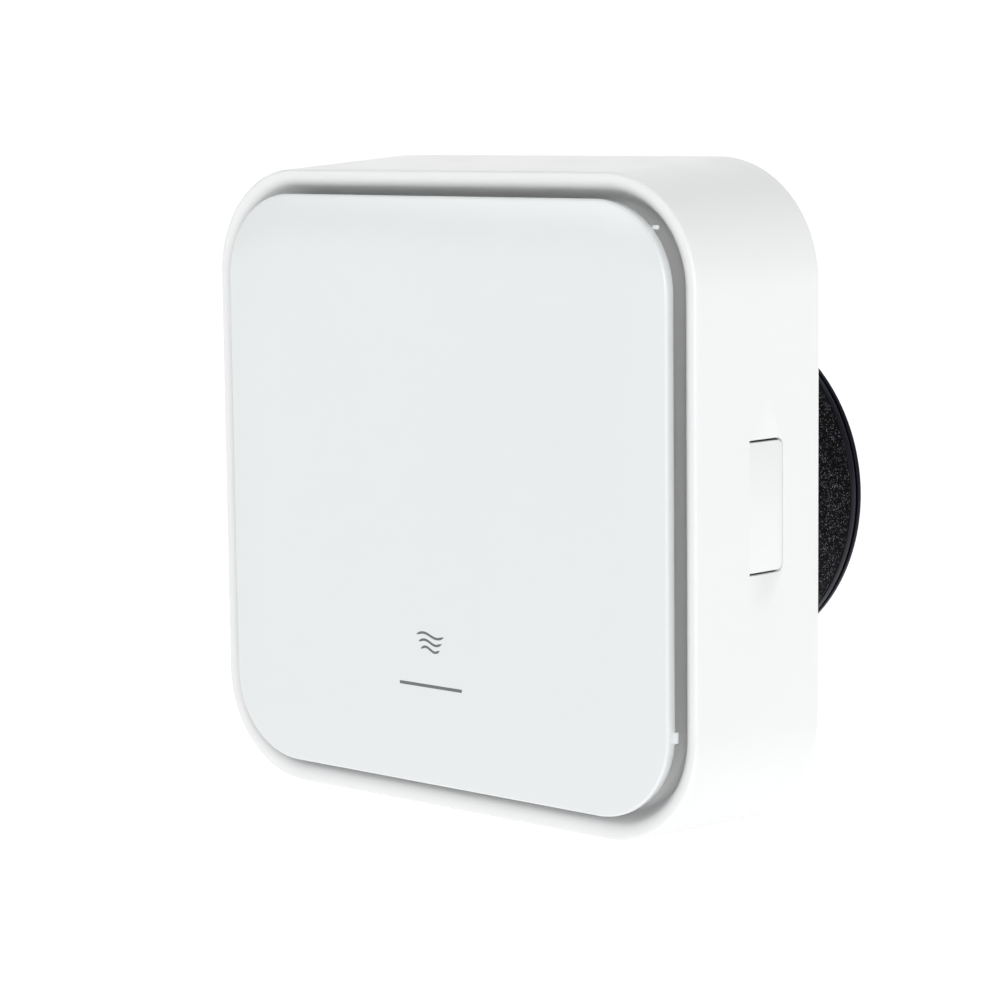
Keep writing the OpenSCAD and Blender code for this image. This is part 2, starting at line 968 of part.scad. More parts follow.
module service_button() {
    color("#4aa3c7") {
        peg(button_x, button_z, button_r + 1.6, button_back, button_back + 2.6);
        peg(button_x, button_z, button_r, button_back, frame_front + 2.4);
    }
}

wall_gasket();
duct_gasket();
wall_plate();
latch_catches();
casing();
air_frame();
frame_screws();
peg_bushes();
front_panel();
panel_liner();
latch_left();
latch_right();
filter_frame();
filter_media();
pre_filter();
filter_tab();
filter_gasket();
shutter_frame();
shutter_screws();
shutter_blade_1();
shutter_blade_2();
shutter_blade_3();
shutter_blade_4();
shutter_link();
shutter_motor();
duct_tube();
duct_foam();
duct_collar();
rear_guard();
outdoor_filter();
fan_shroud();
fan_stator();
fan_bearings();
fan_shaft();
fan_rotor();
rotor_magnet();
core_cartridge();
ceramic_core();
core_retainer();
core_handle();
control_box();
control_board();
board_parts();
terminal_block();
control_cover();
cover_screws();
service_button();
air_sensor();
cable_grommet();
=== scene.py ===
import json
import math

import bmesh
import bpy
from mathutils import Matrix, Vector, noise


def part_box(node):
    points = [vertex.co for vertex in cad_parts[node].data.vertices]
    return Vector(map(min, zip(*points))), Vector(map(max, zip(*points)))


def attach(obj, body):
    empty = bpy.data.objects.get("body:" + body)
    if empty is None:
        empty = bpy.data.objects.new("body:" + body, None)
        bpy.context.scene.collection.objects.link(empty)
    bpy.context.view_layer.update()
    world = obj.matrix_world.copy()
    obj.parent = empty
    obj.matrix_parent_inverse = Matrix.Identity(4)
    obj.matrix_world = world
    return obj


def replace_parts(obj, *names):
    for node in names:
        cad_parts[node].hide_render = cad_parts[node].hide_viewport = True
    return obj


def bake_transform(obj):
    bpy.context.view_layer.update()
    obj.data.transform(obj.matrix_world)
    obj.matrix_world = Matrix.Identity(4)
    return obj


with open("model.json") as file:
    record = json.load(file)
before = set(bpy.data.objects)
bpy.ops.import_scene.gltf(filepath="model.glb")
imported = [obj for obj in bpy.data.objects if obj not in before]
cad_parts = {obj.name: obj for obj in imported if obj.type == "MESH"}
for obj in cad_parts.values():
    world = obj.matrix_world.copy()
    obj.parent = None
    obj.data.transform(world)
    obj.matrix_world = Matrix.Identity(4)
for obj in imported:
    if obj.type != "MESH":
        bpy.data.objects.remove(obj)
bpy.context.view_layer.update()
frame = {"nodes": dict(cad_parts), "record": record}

MM = 0.001

# --- Driving sizes, in millimetres, read from the frame ---------------------------------------


def span(node):
    """Lowest and highest corner of a CAD node, in millimetres."""
    low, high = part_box(node)
    return low / MM, high / MM


CASING_LOW, CASING_HIGH = span("casing")
PANEL_LOW, PANEL_HIGH = span("front_panel")
FOAM_LOW, FOAM_HIGH = span("duct_foam")
COLLAR_LOW, COLLAR_HIGH = span("duct_collar")
LATCH_LOW, LATCH_HIGH = span("latch_right")

CASING_W = CASING_HIGH.x - CASING_LOW.x
CASING_H = CASING_HIGH.z - CASING_LOW.z
DEPTH = -CASING_LOW.y
# How far each side leans in from the wall to the rim
DRAFT = 4.8
CORNER_R = 51.0
WALL = 2.2
# Half the width of the opening behind the panel
SHELF_HALF = 112.0
GUTTER_FLOOR = -span("peg_bushes")[0].y
SHELF = GUTTER_FLOOR - 2.0
# Inset at which the casing's thick wall ends and its thin floor skin goes on
GUTTER_EDGE = 13.8

PANEL_W = PANEL_HIGH.x - PANEL_LOW.x
PANEL_H = PANEL_HIGH.z - PANEL_LOW.z
PANEL_R = 37.0
PEG_AT = 97.0
PANEL_FACE = -PANEL_LOW.y

DUCT_Z = (FOAM_LOW.z + FOAM_HIGH.z) / 2
FOAM_R = FOAM_HIGH.z - DUCT_Z
TUBE_R = 75.0
TUBE_BORE = 72.5

# --- Node and material helpers ----------------------------------------------------------------


class Shader:
    """A small wrapper that builds one procedural material."""

    def __init__(self, name):
        self.material = bpy.data.materials.new(name)
        self.material.use_nodes = True
        self.tree = self.material.node_tree
        self.surface = self.tree.nodes["Principled BSDF"]
        self.place = self.node("ShaderNodeTexCoord").outputs["Object"]

    def node(self, kind, **settings):
        made = self.tree.nodes.new(kind)
        for key, value in settings.items():
            setattr(made, key, value)
        return made

    def link(self, output, target):
        self.tree.links.new(output, target)

    def set(self, **values):
        for key, value in values.items():
            self.surface.inputs[key.replace("_", " ")].default_value = value

    def noise(self, scale, detail=3.0, roughness=0.55):
        made = self.node("ShaderNodeTexNoise")
        made.inputs["Scale"].default_value = scale
        made.inputs["Detail"].default_value = detail
        made.inputs["Roughness"].default_value = roughness
        self.link(self.place, made.inputs["Vector"])
        return made.outputs["Fac"]

    def cells(self, scale, feature="F1", output="Distance"):
        made = self.node("ShaderNodeTexVoronoi", feature=feature)
        made.inputs["Scale"].default_value = scale
        self.link(self.place, made.inputs["Vector"])
        return made.outputs[output]

    def spread(self, source, low, high, from_low=0.3, from_high=0.7):
        made = self.node("ShaderNodeMapRange")
        edges = (("From Min", from_low), ("From Max", from_high), ("To Min", low), ("To Max", high))
        for key, value in edges:
            made.inputs[key].default_value = value
        self.link(source, made.inputs["Value"])
        return made.outputs["Result"]

    def blend_colours(self, factor, first, second):
        made = self.node("ShaderNodeMix", data_type="RGBA")
        self.link(factor, made.inputs["Factor"])
        for key, colour in (("A", first), ("B", second)):
            socket = [s for s in made.inputs if s.name == key and s.type == "RGBA"][0]
            if hasattr(colour, "is_linked"):
                self.link(colour, socket)
            else:
                socket.default_value = (*colour, 1.0)
        return [s for s in made.outputs if s.type == "RGBA"][0]

    def colour(self, output):
        self.link(output, self.surface.inputs["Base Color"])

    def roughness(self, output):
        self.link(output, self.surface.inputs["Roughness"])

    def bump(self, *layers):
        """Each layer is (height output, height in metres)."""
        normal = None
        for height, distance in layers:
            made = self.node("ShaderNodeBump")
            made.inputs["Strength"].default_value = 1.0
            made.inputs["Distance"].default_value = distance
            self.link(height, made.inputs["Height"])
            if normal is not None:
                self.link(normal, made.inputs["Normal"])
            normal = made.outputs["Normal"]
        self.link(normal, self.surface.inputs["Normal"])


def moulded(name, light, dark, rough=(0.35, 0.45), grain=0.00001, grain_scale=1800.0, **settings):
    """Injection-moulded plastic: faint tone drift, a fine surface grain and uneven gloss."""
    shader = Shader(name)
    shader.colour(shader.blend_colours(shader.spread(shader.noise(9.0), 0.0, 1.0), light, dark))
    shader.roughness(shader.spread(shader.noise(60.0), *rough))
    shader.bump((shader.noise(grain_scale, detail=2.0), grain))
    shader.set(**settings)
    return shader.material


def metal(name, light, dark, rough=(0.25, 0.42), stretch=(1.0, 1.0, 30.0)):
    """Plated or brushed metal with fine streaks."""
    shader = Shader(name)
    mapping = shader.node("ShaderNodeMapping")
    mapping.inputs["Scale"].default_value = stretch
    shader.link(shader.place, mapping.inputs["Vector"])
    shader.place = mapping.outputs["Vector"]
    streaks = shader.noise(220.0, detail=4.0)
    shader.colour(shader.blend_colours(shader.spread(streaks, 0.0, 1.0), light, dark))
    shader.roughness(shader.spread(streaks, *rough))
    shader.bump((streaks, 0.000004))
    shader.set(Metallic=1.0)
    return shader.material


def granular(name, base, glint_colour, bead_scale, bead_height, glint_share=0.18, rough=(0.55, 0.8), specular=0.5):
    """Bead foam: packed grains, with a few grains painted lighter as glints."""
    shader = Shader(name)
    beads = shader.cells(bead_scale)
    shade = shader.cells(bead_scale, output="Color")
    tone = shader.node("ShaderNodeSeparateColor")
    shader.link(shade, tone.inputs["Color"])
    # Painted glints: a few random grains get the lighter colour in their base colour
    glint_mask = shader.spread(tone.outputs["Red"], 0.0, 1.0, 1.0 - glint_share, 1.0)
    shader.colour(shader.blend_colours(glint_mask, base, glint_colour))
    shader.roughness(shader.spread(tone.outputs["Green"], *rough, 0.0, 1.0))
    shader.bump((beads, -bead_height), (shader.noise(bead_scale * 3.0), bead_height * 0.3))
    shader.set(Specular_IOR_Level=specular)
    return shader.material


def ceramic_material():
    shader = Shader("ceramic")
    grain = shader.noise(500.0, detail=6.0)
    light, dark = (0.80, 0.72, 0.60), (0.66, 0.56, 0.44)
    shader.colour(shader.blend_colours(shader.spread(grain, 0.0, 1.0), light, dark))
    shader.bump((grain, 0.00005))
    shader.set(Roughness=0.9)
    return shader.material


def felt_material(name, light, dark, scale):
    """Open fibre mat for filters."""
    shader = Shader(name)
    fibre = shader.cells(scale, feature="DISTANCE_TO_EDGE")
    shader.colour(shader.blend_colours(shader.spread(fibre, 0.0, 1.0, 0.0, 0.25), light, dark))
    shader.bump((fibre, -0.0006), (shader.noise(scale * 2.0), 0.0002))
    shader.set(Roughness=0.95)
    return shader.material


def board_material():
    """Green solder mask with faint copper tracks below it."""
    shader = Shader("board_green")
    tracks = shader.node("ShaderNodeTexBrick")
    tracks.inputs["Scale"].default_value = 260.0
    tracks.inputs["Mortar Size"].default_value = 0.03
    shader.link(shader.place, tracks.inputs["Vector"])
    mask = shader.spread(tracks.outputs["Fac"], 0.0, 1.0, 0.0, 1.0)
    shader.colour(shader.blend_colours(mask, (0.02, 0.13, 0.06), (0.05, 0.24, 0.11)))
    shader.bump((tracks.outputs["Fac"], 0.00002))
    shader.set(Roughness=0.35)
    return shader.material


MATERIALS = {
    "casing_white": moulded("casing_white", (0.885, 0.89, 0.89), (0.87, 0.877, 0.88), (0.30, 0.38), 0.000004),
    "panel_gloss": moulded("panel_gloss", (0.80, 0.825, 0.83), (0.79, 0.815, 0.822), (0.13, 0.17), 0.000001,
                           600.0,
                           Coat_Weight=0.4, Coat_Roughness=0.08),
    "inner_white": moulded("inner_white", (0.90, 0.90, 0.89), (0.87, 0.87, 0.86), (0.45, 0.6), 0.00001),
    "grey_plastic": moulded("grey_plastic", (0.075, 0.080, 0.085), (0.060, 0.064, 0.068), (0.4, 0.55),
                            0.00003),
    "black_plastic": moulded("black_plastic", (0.003, 0.0035, 0.008), (0.002, 0.0025, 0.007), (0.26, 0.36),
                             0.000006,
                             Specular_IOR_Level=0.14),
    # Each foam's second colour is a painted glint on a few of its grains
    "black_foam": granular("black_foam", (0.0015, 0.0015, 0.002), (0.20, 0.20, 0.23), 2400.0, 0.00012,
                           glint_share=0.12, specular=0.04),
    "gasket_foam": granular("gasket_foam", (0.018, 0.018, 0.020), (0.05, 0.05, 0.05), 1400.0, 0.00012),
    "galvanised": metal("galvanised", (0.62, 0.64, 0.65), (0.50, 0.52, 0.53), (0.3, 0.5), (1.0, 1.0, 1.0)),
    "screw_steel": metal("screw_steel", (0.62, 0.62, 0.63), (0.50, 0.50, 0.52)),
    "shaft_steel": metal("shaft_steel", (0.75, 0.76, 0.77), (0.66, 0.67, 0.68), (0.1, 0.2)),
    "pleat_paper": felt_material("pleat_paper", (0.86, 0.86, 0.82), (0.78, 0.78, 0.74), 700.0),
    "filter_mesh": moulded("filter_mesh", (0.22, 0.235, 0.25), (0.17, 0.18, 0.19), (0.6, 0.7), 0.00005,
                           3000.0),
    "filter_felt": felt_material("filter_felt", (0.075, 0.080, 0.085), (0.012, 0.012, 0.013), 260.0),
    "ceramic": ceramic_material(),
    "copper_winding": metal("copper_winding", (0.62, 0.28, 0.12), (0.48, 0.20, 0.08), (0.25, 0.4),
                            (1.0, 30.0, 1.0)),
    "magnet": moulded("magnet", (0.10, 0.09, 0.085), (0.07, 0.065, 0.06), (0.5, 0.7), 0.00004),
    "board_green": board_material(),
    "accent_orange": moulded("accent_orange", (0.62, 0.20, 0.04), (0.55, 0.17, 0.03), (0.35, 0.5), 0.00002),
    "accent_blue": moulded("accent_blue", (0.05, 0.25, 0.42), (0.04, 0.21, 0.36), (0.3, 0.45), 0.00002),
    "print_grey": moulded("print_grey", (0.15, 0.16, 0.17), (0.13, 0.14, 0.15), (0.4, 0.5), 0.000002),
}

# --- Mesh helpers -----------------------------------------------------------------------------

ARC_STEPS = 20
SIDE_STEPS = 8


def outline(half_w, half_h, r, arc_steps=ARC_STEPS, side_steps=SIDE_STEPS):
    """Points (x, z) round a rounded rectangle, anticlockwise from the right side's foot."""
    points = []
    corners = ((1, 1, 0.0), (-1, 1, 90.0), (-1, -1, 180.0), (1, -1, 270.0))
    for index, (sx, sz, start) in enumerate(corners):
        cx, cz = sx * (half_w - r), sz * (half_h - r)
        for step in range(arc_steps + 1):
            angle = math.radians(start + 90.0 * step / arc_steps)
            points.append(Vector((cx + r * math.cos(angle), cz + r * math.sin(angle))))
        nsx, nsz, nstart = corners[(index + 1) % 4]
        angle = math.radians(nstart)
        target = Vector((nsx * (half_w - r) + r * math.cos(angle), nsz * (half_h - r) + r * math.sin(angle)))
        origin = points[-1].copy()
        for step in range(1, side_steps):
            points.append(origin.lerp(target, step / side_steps))
    return points


def finish_mesh(name, bm, material, body, smooth=32.0, doubles=0.002):
    """Turns a bmesh in millimetres into a riding piece in metres."""
    bmesh.ops.remove_doubles(bm, verts=bm.verts, dist=doubles)
    bmesh.ops.recalc_face_normals(bm, faces=bm.faces)
    bmesh.ops.scale(bm, vec=(MM, MM, MM), verts=bm.verts)
    mesh = bpy.data.meshes.new(name)
    bm.to_mesh(mesh)
    bm.free()
    for polygon in mesh.polygons:
        polygon.use_smooth = True
    mesh.set_sharp_from_angle(angle=math.radians(smooth))
    piece = bpy.data.objects.new(name, mesh)
    bpy.context.scene.collection.objects.link(piece)
    mesh.materials.append(MATERIALS[material])
    if body is not None:
        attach(piece, body)
    return piece


def loft(bm, rings, closed=False):
    """Joins rings of equal length with quads; closed also joins the last ring to the first."""
    made = [[bm.verts.new(point) for point in ring] for ring in rings]
    pairs = list(zip(made, made[1:] + ([made[0]] if closed else [])))
    if not closed:
        pairs = pairs[: len(made) - 1]
    for first, second in pairs:
        for index in range(len(first)):
            after = (index + 1) % len(first)
            bm.faces.new((first[index], first[after], second[after], second[index]))
    return made


def offset_rings(half_w, half_h, r, profile):
    """Rings of a rounded rectangle for a profile of (inset, distance in front of the wall)."""
    rings = []
    for inset, front in profile:
        points = outline(half_w - inset, half_h - inset, max(r - inset, 0.4))
        rings.append([Vector((p.x, -front, p.y)) for p in points])
    return rings


def arc(cx, cy, r, start, end, steps):
    """Points along an arc in the profile plane, angles in degrees."""
    turn = [math.radians(start + (end - start) * k / steps) for k in range(steps + 1)]
    return [(cx + r * math.cos(a), cy + r * math.sin(a)) for a in turn]


def lathe(bm, profile, steps):
    """Turns a profile of (radius, distance behind the wall) round the duct's axis."""
    rings = []
    for radius, depth in profile:
        turn = [2.0 * math.pi * k / steps for k in range(steps)]
        rings.append([Vector((radius * math.cos(a), depth, DUCT_Z + radius * math.sin(a))) for a in turn])
    return loft(bm, rings, closed=True)


def block(bm, low, high, soften=0.0):
    """Box with softened edges, between two corners."""
    centre, size = (Vector(low) + Vector(high)) / 2, Vector(high) - Vector(low)
    place = Matrix.Translation(centre) @ Matrix.Diagonal((*size, 1.0))
    made = bmesh.ops.create_cube(bm, size=1.0, matrix=place)
    if soften:
        edges = {edge for vert in made["verts"] for edge in vert.link_edges}
        bmesh.ops.bevel(bm, geom=list(edges), offset=soften, segments=2, profile=0.5, affect="EDGES")


def cut(piece, cutter):
    """Cuts another object out of the piece and deletes that object."""
    modifier = piece.modifiers.new("cut", "BOOLEAN")
    modifier.operation = "DIFFERENCE"
    modifier.solver = "EXACT"
    modifier.object = cutter
    depsgraph = bpy.context.evaluated_depsgraph_get()
    mesh = bpy.data.meshes.new_from_object(piece.evaluated_get(depsgraph))
    piece.modifiers.clear()
    old = piece.data
    piece.data = mesh
    bpy.data.meshes.remove(old)
    bpy.data.objects.remove(cutter)


def loose(name, bm):
    """An object for cutting only, in metres."""
    bmesh.ops.recalc_face_normals(bm, faces=bm.faces)
    bmesh.ops.scale(bm, vec=(MM, MM, MM), verts=bm.verts)
    mesh = bpy.data.meshes.new(name)
    bm.to_mesh(mesh)
    bm.free()
    piece = bpy.data.objects.new(name, mesh)
    bpy.context.scene.collection.objects.link(piece)
    return piece


# --- Casing -----------------------------------------------------------------------------------

SLOPE = DRAFT / DEPTH
TONGUE_BACK = 23.0
TONGUE_FRONT = 43.3
SLOT_END = 0.55
SLOT_SIDE = 1.0
TONGUE_LOW, TONGUE_HIGH = LATCH_LOW.z, LATCH_HIGH.z
TONGUE_R = 3.0


def casing_profile():
    """Closed section of the casing's wall as (inset, distance in front of the wall)."""
    edge_r = 1.3
    outer = [(0.25, 0.0), (SLOPE * 0.3, 0.3)]
    outer += [(SLOPE * s, s) for s in (8.0, 20.0, 32.0, 44.0, 56.0, 66.0, 72.0)]
    corner = SLOPE * (DEPTH - edge_r)
    outer += arc(corner + edge_r, DEPTH - edge_r, edge_r, 180.0, 90.0, 7)
    crest_x = corner + edge_r + 0.2
    roll_r, roll_end = 6.7, 35.0
    outer += arc(crest_x, DEPTH - roll_r, roll_r, 90.0, roll_end, 14)
    wall_x, wall_y = outer[-1]
    lean = math.tan(math.radians(roll_end))
    foot_r = 4.0
    floor_y = GUTTER_FLOOR + 0.15
    foot_x = wall_x + (wall_y - floor_y) * lean + 1.1
    foot = arc(foot_x, floor_y + foot_r, foot_r, 180.0 + roll_end, 270.0, 8)
    run_x, run_y = foot[0][0] - wall_x, foot[0][1] - wall_y
    outer += [(wall_x + run_x * t, wall_y + run_y * t) for t in (0.25, 0.5, 0.75)]
    outer += foot
    shelf_x = CASING_W / 2 - SHELF_HALF
    skin_y = GUTTER_FLOOR + 0.03
    inner = [(foot_x + 0.4, skin_y), (GUTTER_EDGE + 0.1, skin_y), (GUTTER_EDGE + 0.1, SHELF)]
    inner += [(shelf_x, SHELF), (shelf_x, SHELF - 2.0), (GUTTER_EDGE - 2.0, SHELF - 2.0)]
    inner.append((crest_x + 2.6, DEPTH - 8.0))
    inner += [(WALL + SLOPE * s, s) for s in (DEPTH - 9.0, 60.0, 45.0, 30.0, 15.0, 0.3)]
    inner.append((WALL - 0.25, 0.0))
    return outer + inner


def tongue_outline(grow_end, grow_side):
    """Outline (distance in front of the wall, z) of a tongue: square at its root, round at its free end."""
    low, high = TONGUE_LOW - grow_side, TONGUE_HIGH + grow_side
    back = TONGUE_BACK - grow_end
    r = TONGUE_R + grow_end
    points = [(TONGUE_FRONT, low)]
    points += arc(back + r, low + r, r, 270.0, 180.0, 8)
    points += arc(back + r, high - r, r, 180.0, 90.0, 8)
    points.append((TONGUE_FRONT, high))
    return points


def prism(bm, points, x_of, x_inner):
    """Plate between two surfaces x(front distance), following an outline of (front distance, z)."""
    outer = [bm.verts.new((x_of(s), -s, z)) for s, z in points]
    inner = [bm.verts.new((x_inner(s), -s, z)) for s, z in points]
    bm.faces.new(outer)
    bm.faces.new(inner[::-1])
    for index in range(len(points)):
        after = (index + 1) % len(points)
        bm.faces.new((outer[index], inner[index], inner[after], outer[after]))
    return outer


def make_casing():
    """The casing's shell, with a window on each side for the tongue."""
    bm = bmesh.new()
    loft(bm, offset_rings(CASING_W / 2, CASING_H / 2, CORNER_R, casing_profile()), closed=True)
    piece = finish_mesh("casing_shell", bm, "casing_white", None)
    for side in (-1, 1):
        cutter = bmesh.new()
        outside, inside = side * (CASING_W / 2 + 4.0), side * (CASING_W / 2 - 14.0)
        prism(cutter, tongue_outline(SLOT_END, SLOT_SIDE), lambda s: outside, lambda s: inside)
        cut(piece, loose("tongue_cutter", cutter))
    soften_window(piece)
    for polygon in piece.data.polygons:
        polygon.use_smooth = True
    piece.data.set_sharp_from_angle(angle=math.radians(32.0))
    if not piece.data.materials:
        piece.data.materials.append(MATERIALS["casing_white"])
    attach(piece, "housing")
    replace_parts(piece, "casing")


def soften_window(piece):
    """Rounds the outer edges of the two tongue windows."""
    bm = bmesh.new()
    bm.from_mesh(piece.data)
    chosen = []
    for edge in bm.edges:
        if len(edge.link_faces) != 2 or edge.calc_face_angle(0.0) < math.radians(60.0):
            continue
        middle = (edge.verts[0].co + edge.verts[1].co) / 2 / MM
        surface = CASING_W / 2 + SLOPE * middle.y
        in_depth = TONGUE_BACK - 1.5 < -middle.y < TONGUE_FRONT + 0.5
        in_height = TONGUE_LOW - 2.0 < middle.z < TONGUE_HIGH + 2.0
        level = abs(edge.verts[0].co.y - edge.verts[1].co.y) < 1e-6
        along_root = level and abs(-middle.y - TONGUE_FRONT) < 0.05
        if in_depth and in_height and abs(abs(middle.x) - surface) < 0.1 and not along_root:
            chosen.append(edge)
    bmesh.ops.bevel(bm, geom=chosen, offset=0.25 * MM, segments=2, profile=0.5, affect="EDGES")
    bm.to_mesh(piece.data)
    bm.free()


def make_latch(side, body, node):
    """Tongue plate, cut into rows along its length, with the arm and barb behind it."""
    bm = bmesh.new()

    def outer(s):
        return side * (CASING_W / 2 - SLOPE * s)

    def inner(s):
        return side * (CASING_W / 2 - SLOPE * s - WALL)

    points = tongue_outline(0.0, 0.0)
    prism(bm, points, outer, inner)
    rows = 10
    for k in range(1, rows):
        front = TONGUE_BACK + (TONGUE_FRONT - TONGUE_BACK) * k / rows
        geometry = bm.verts[:] + bm.edges[:] + bm.faces[:]
        bmesh.ops.bisect_plane(bm, geom=geometry, plane_co=(0, -front, 0), plane_no=(0, 1, 0))
    rim = []
    for edge in bm.edges:
        if len(edge.link_faces) == 2 and edge.calc_face_angle(0.0) > math.radians(60.0):
            middle = (edge.verts[0].co + edge.verts[1].co) / 2
            on_face = abs(middle.x - outer(-middle.y)) < 0.05
            if on_face and -middle.y < TONGUE_FRONT - 0.05:
                rim.append(edge)
    bmesh.ops.bevel(bm, geom=rim, offset=0.25, segments=2, profile=0.5, affect="EDGES")
    plate = finish_mesh(node + "_tongue", bm, "casing_white", None)
    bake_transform(plate)
    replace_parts(plate, node)

    bm = bmesh.new()
    mid = (TONGUE_LOW + TONGUE_HIGH) / 2
    # The bridge in from the tongue, the arm that runs back along it, and the barb at the arm's end
    parts = (
        ((127.5, -36.5, mid - 10), (136.0, -33.0, mid + 10)),
        ((127.5, -36.5, mid - 10), (129.7, -9.3, mid + 10)),
        ((129.0, -12.6, mid - 8), (132.8, -9.3, mid + 8)),
    )
    for low, high in parts:
        block(bm, low, high, 0.4)
    for height in (-6.0, 6.0):
        block(bm, (129.0, -33.6, mid + height - 0.8), (135.4, -26.0, mid + height + 0.8), 0.3)
    if side < 0:
        bmesh.ops.scale(bm, vec=(-1, 1, 1), verts=bm.verts)
    finish_mesh(node + "_hook", bm, "casing_white", body)


# --- Front panel ------------------------------------------------------------------------------


def panel_profile():
    """Section of the panel from its crowned face, over the edge, to its hollow back."""
    crown = 34.0
    drop = 1.0
    edge_r = 1.2

    def face(e):
        reach = max(0.0, (crown - e) / crown)
        return PANEL_FACE - drop * reach ** 3

    points = [(e, face(e)) for e in (crown, 30.0, 26.0, 22.0, 18.0, 15.0, 12.0, 9.5, 7.5, 6.0, 4.5, 3.2, 2.0)]
    edge_y = face(edge_r) - edge_r
    points += arc(edge_r, edge_y, edge_r, 84.0, 180.0, 9)
    foot = DEPTH
    points += [(0.05, foot + 0.5), (0.3, foot), (1.8, foot), (2.0, foot + 0.3)]
    points += [(2.1, PANEL_FACE - 4.0), (3.4, PANEL_FACE - 3.0)]
    points += [(8.0, PANEL_FACE - 2.7), (crown, PANEL_FACE - 2.6)]
    return points


def add_peg(bm, x, z):
    """Peg that points at the wall, with a flared root and four thin ribs."""
    peg_r = 3.5
    profile = [(0.0, -43.0), (1.6, -43.2), (2.8, -44.0), (peg_r, -46.0), (peg_r, -75.0)]
    profile += [(4.2, -76.6), (6.5, -78.0)]
    turn = [2.0 * math.pi * k / 32 for k in range(32)]
    rings = []
    for radius, y in profile:
        reach = max(radius, 0.02)
        rings.append([Vector((x + reach * math.cos(a), y, z + reach * math.sin(a))) for a in turn])
    made = loft(bm, rings)
    bm.faces.new(made[0])
    bm.faces.new(made[-1])
    for half_x, half_z in ((7.0, 0.7), (0.7, 7.0)):
        block(bm, (x - half_x, -78.0, z - half_z), (x + half_x, -70.0, z + half_z), 0.25)


def make_panel():
    """The front panel with its pegs and the small tabs at its edge."""
    bm = bmesh.new()
    rings = offset_rings(PANEL_W / 2, PANEL_H / 2, PANEL_R, panel_profile())
    made = loft(bm, rings)
    bm.faces.new(made[0])
    bm.faces.new(made[-1][::-1])
    finish = finish_mesh("panel_shell", bm, "panel_gloss", "front_panel")
    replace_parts(finish, "front_panel")

    bm = bmesh.new()
    for x in (-PEG_AT, PEG_AT):
        for z in (-PEG_AT, PEG_AT):
            add_peg(bm, x, z)
    finish_mesh("panel_pegs", bm, "inner_white", "front_panel")

    bm = bmesh.new()
    edge = PANEL_W / 2
    tab_low, tab_high = -91.4, -86.7
    tab_front, tab_back = -(DEPTH + 1.0), -(DEPTH - 0.9)
    tab_out, tab_in = 1.1, 3.0
    tab_round = 0.35
    block(bm, (edge - tab_in, tab_front, tab_low), (edge + tab_out, tab_back, tab_high), tab_round)
    block(bm, (-edge - tab_out, tab_front, tab_low), (-edge + tab_in, tab_back, tab_high), tab_round)
    # A smaller tab at the top right corner
    block(bm, (113.8, -(DEPTH + 0.6), 113.8), (116.6, -(DEPTH - 1.0), 115.6), tab_round)
    finish_mesh("panel_tabs", bm, "panel_gloss", "front_panel")


# --- Printed mark -----------------------------------------------------------------------------


def wave(bm, x0, x1, z, rise, width, y, thick=0.05):
    """Thin printed stroke that follows one sine wave."""
    steps = 40
    top, low = [], []
    for k in range(steps + 1):
        t = k / steps
        x = x0 + (x1 - x0) * t
        mid = z + rise * math.sin(2.0 * math.pi * t)
        slope = rise * 2.0 * math.pi / (x1 - x0) * math.cos(2.0 * math.pi * t)
        normal = Vector((-slope, 1.0)).normalized()
        taper = width / 2 * min(1.0, 6.0 * min(t, 1.0 - t) + 0.35)
        top.append(Vector((x + normal.x * taper, y, mid + normal.y * taper)))
        low.append(Vector((x - normal.x * taper, y, mid - normal.y * taper)))
    ring = top + low[::-1]
    front = [bm.verts.new(p) for p in ring]
    back = [bm.verts.new(p + Vector((0, thick, 0))) for p in ring]
    for k in range(steps):
        a, b = k, k + 1
        c, d = len(ring) - 2 - k, len(ring) - 1 - k
        bm.faces.new((front[a], front[b], front[c], front[d]))
        bm.faces.new((back[d], back[c], back[b], back[a]))
    for k in range(len(ring)):
        after = (k + 1) % len(ring)
        bm.faces.new((front[after], front[k], back[k], back[after]))


def make_mark():
    """Three wavy strokes over a thin bar."""
    face = -PANEL_FACE - 0.02
    bm = bmesh.new()
    for k, z in enumerate((-60.6, -63.6, -66.6)):
        wave(bm, -11.8 + 1.2 * k, 3.8 - 1.2 * k, z, 1.0, 1.1, face)
    block(bm, (-22.2, face, -83.2), (14.0, face + 0.05, -81.8))
    finish_mesh("airflow_mark", bm, "print_grey", "front_panel")


# --- Duct -------------------------------------------------------------------------------------


def make_foam():
    """Foam wrap with slightly uneven skin."""
    bm = bmesh.new()
    low, high = FOAM_LOW.y, FOAM_HIGH.y
    rows = 60
    profile = [(TUBE_R + 0.1, low), (FOAM_R - 0.6, low)]
    profile += [(FOAM_R, low + 0.5 + (high - low - 1.0) * k / rows) for k in range(rows + 1)]
    profile += [(FOAM_R - 0.6, high), (TUBE_R + 0.1, high)]
    lathe(bm, profile, steps=320)
    for vert in bm.verts:
        radial = Vector((vert.co.x, 0.0, vert.co.z - DUCT_Z))
        if radial.length > FOAM_R - 0.3:
            lift = noise.noise(vert.co * 0.45) * 0.12 + noise.noise(vert.co * 1.1) * 0.10 - 0.2
            vert.co += radial.normalized() * lift
    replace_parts(finish_mesh("foam_wrap", bm, "black_foam", "housing", smooth=60.0), "duct_foam")


